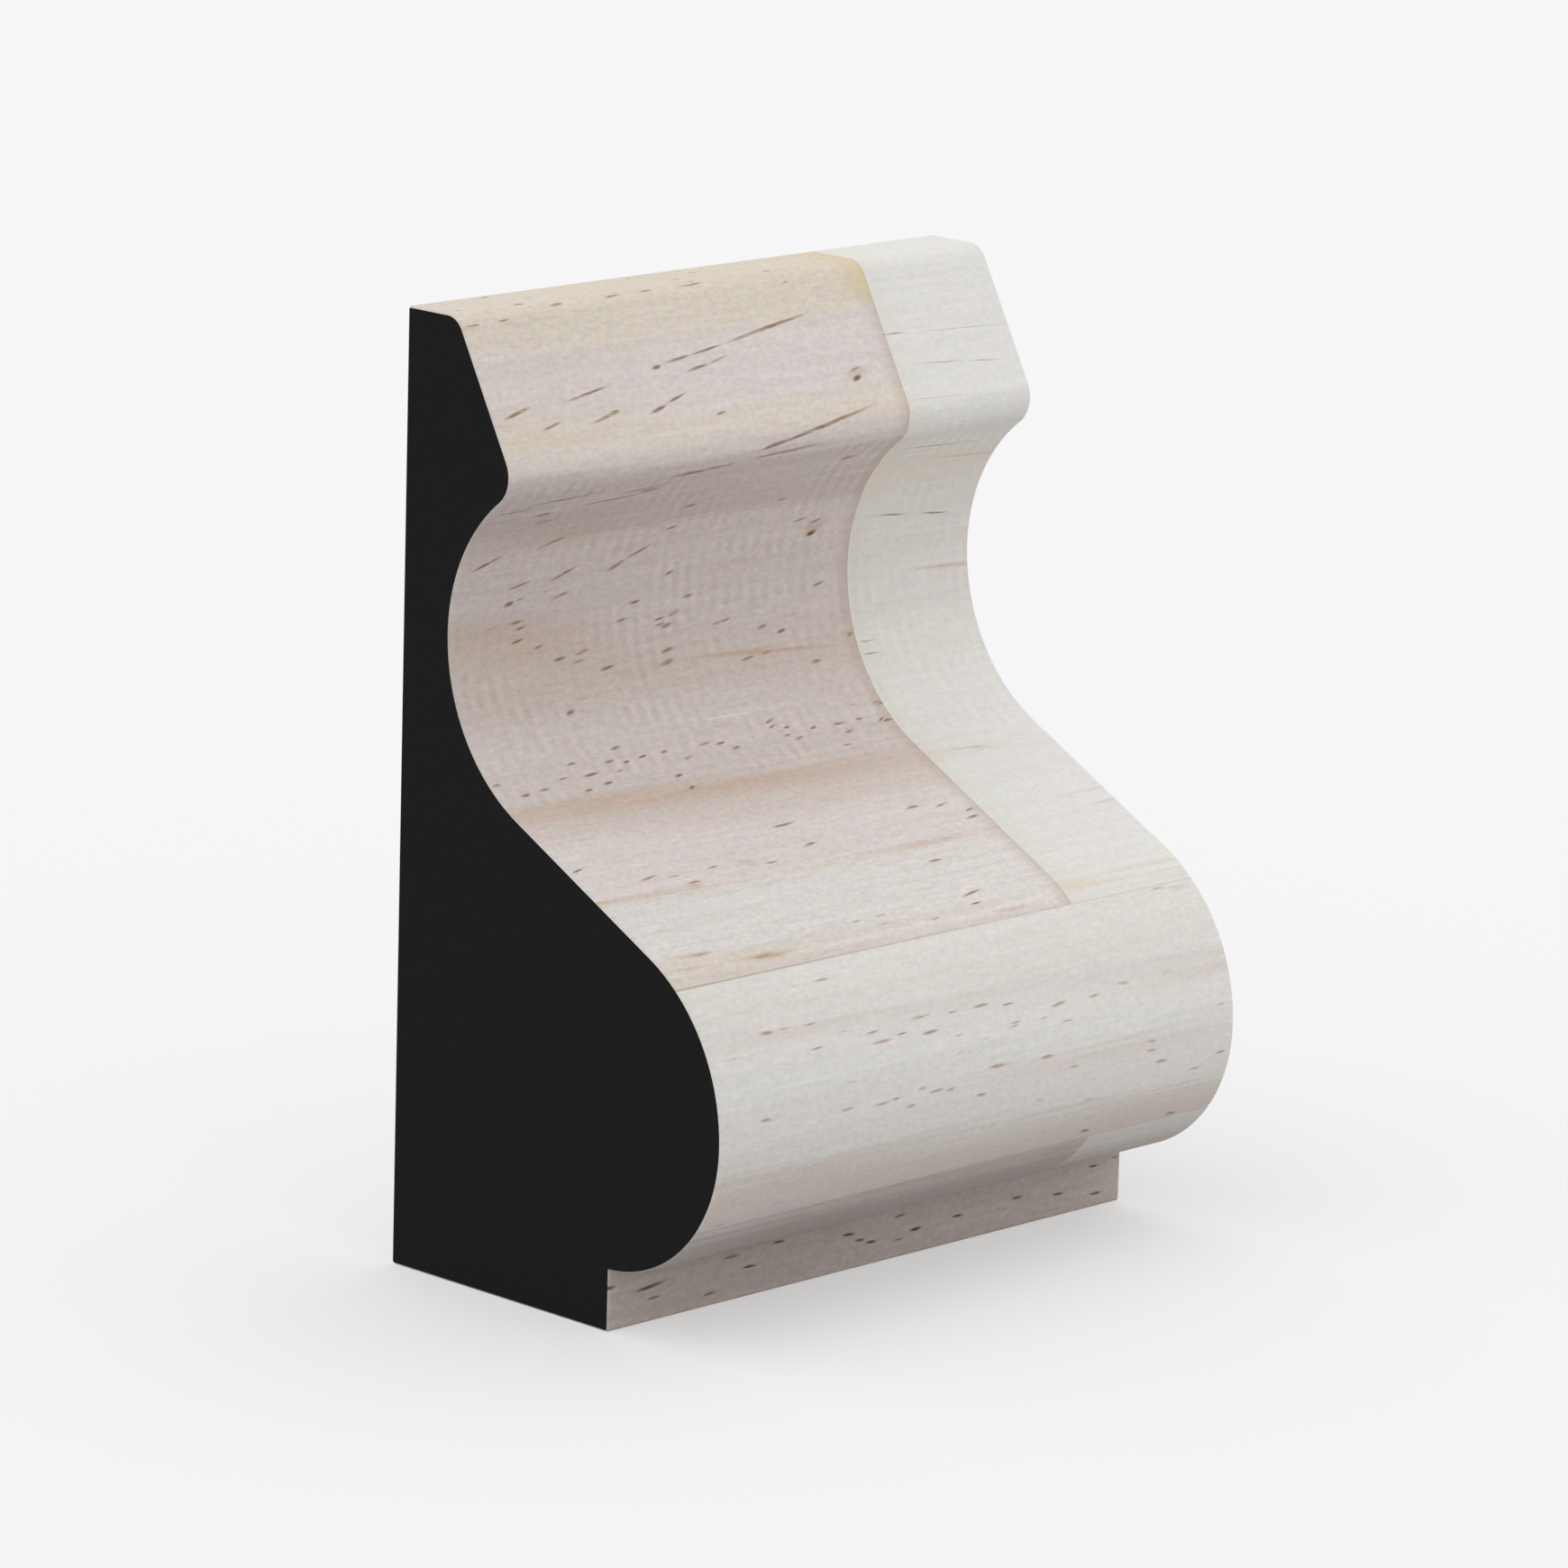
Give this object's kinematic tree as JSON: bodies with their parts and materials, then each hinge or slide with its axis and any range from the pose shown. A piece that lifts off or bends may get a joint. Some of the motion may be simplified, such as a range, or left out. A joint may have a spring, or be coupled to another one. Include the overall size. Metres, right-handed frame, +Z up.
{
  "type": "inlay moulding",
  "caption": "Short length of pine inlay moulding with a flat back, an ogee face and a rebated foot that laps over the edge of a frame or panel.",
  "frame": {"origin": "centre of the bounding box in plan, on the floor that the foot stands on", "axes": "+X along the moulding, +Y out of the flat back, the moulded face looks to -Y, +Z up"},
  "size_m": [0.05, 0.0314, 0.066],
  "materials": {
    "pine": "planed and unfinished, matt, glued up from pale and pinkish blocks, with matt black sealed ends"
  },
  "bodies": {
    "root": {"inlay_moulding": "pine"}
  },
  "joints": []
}
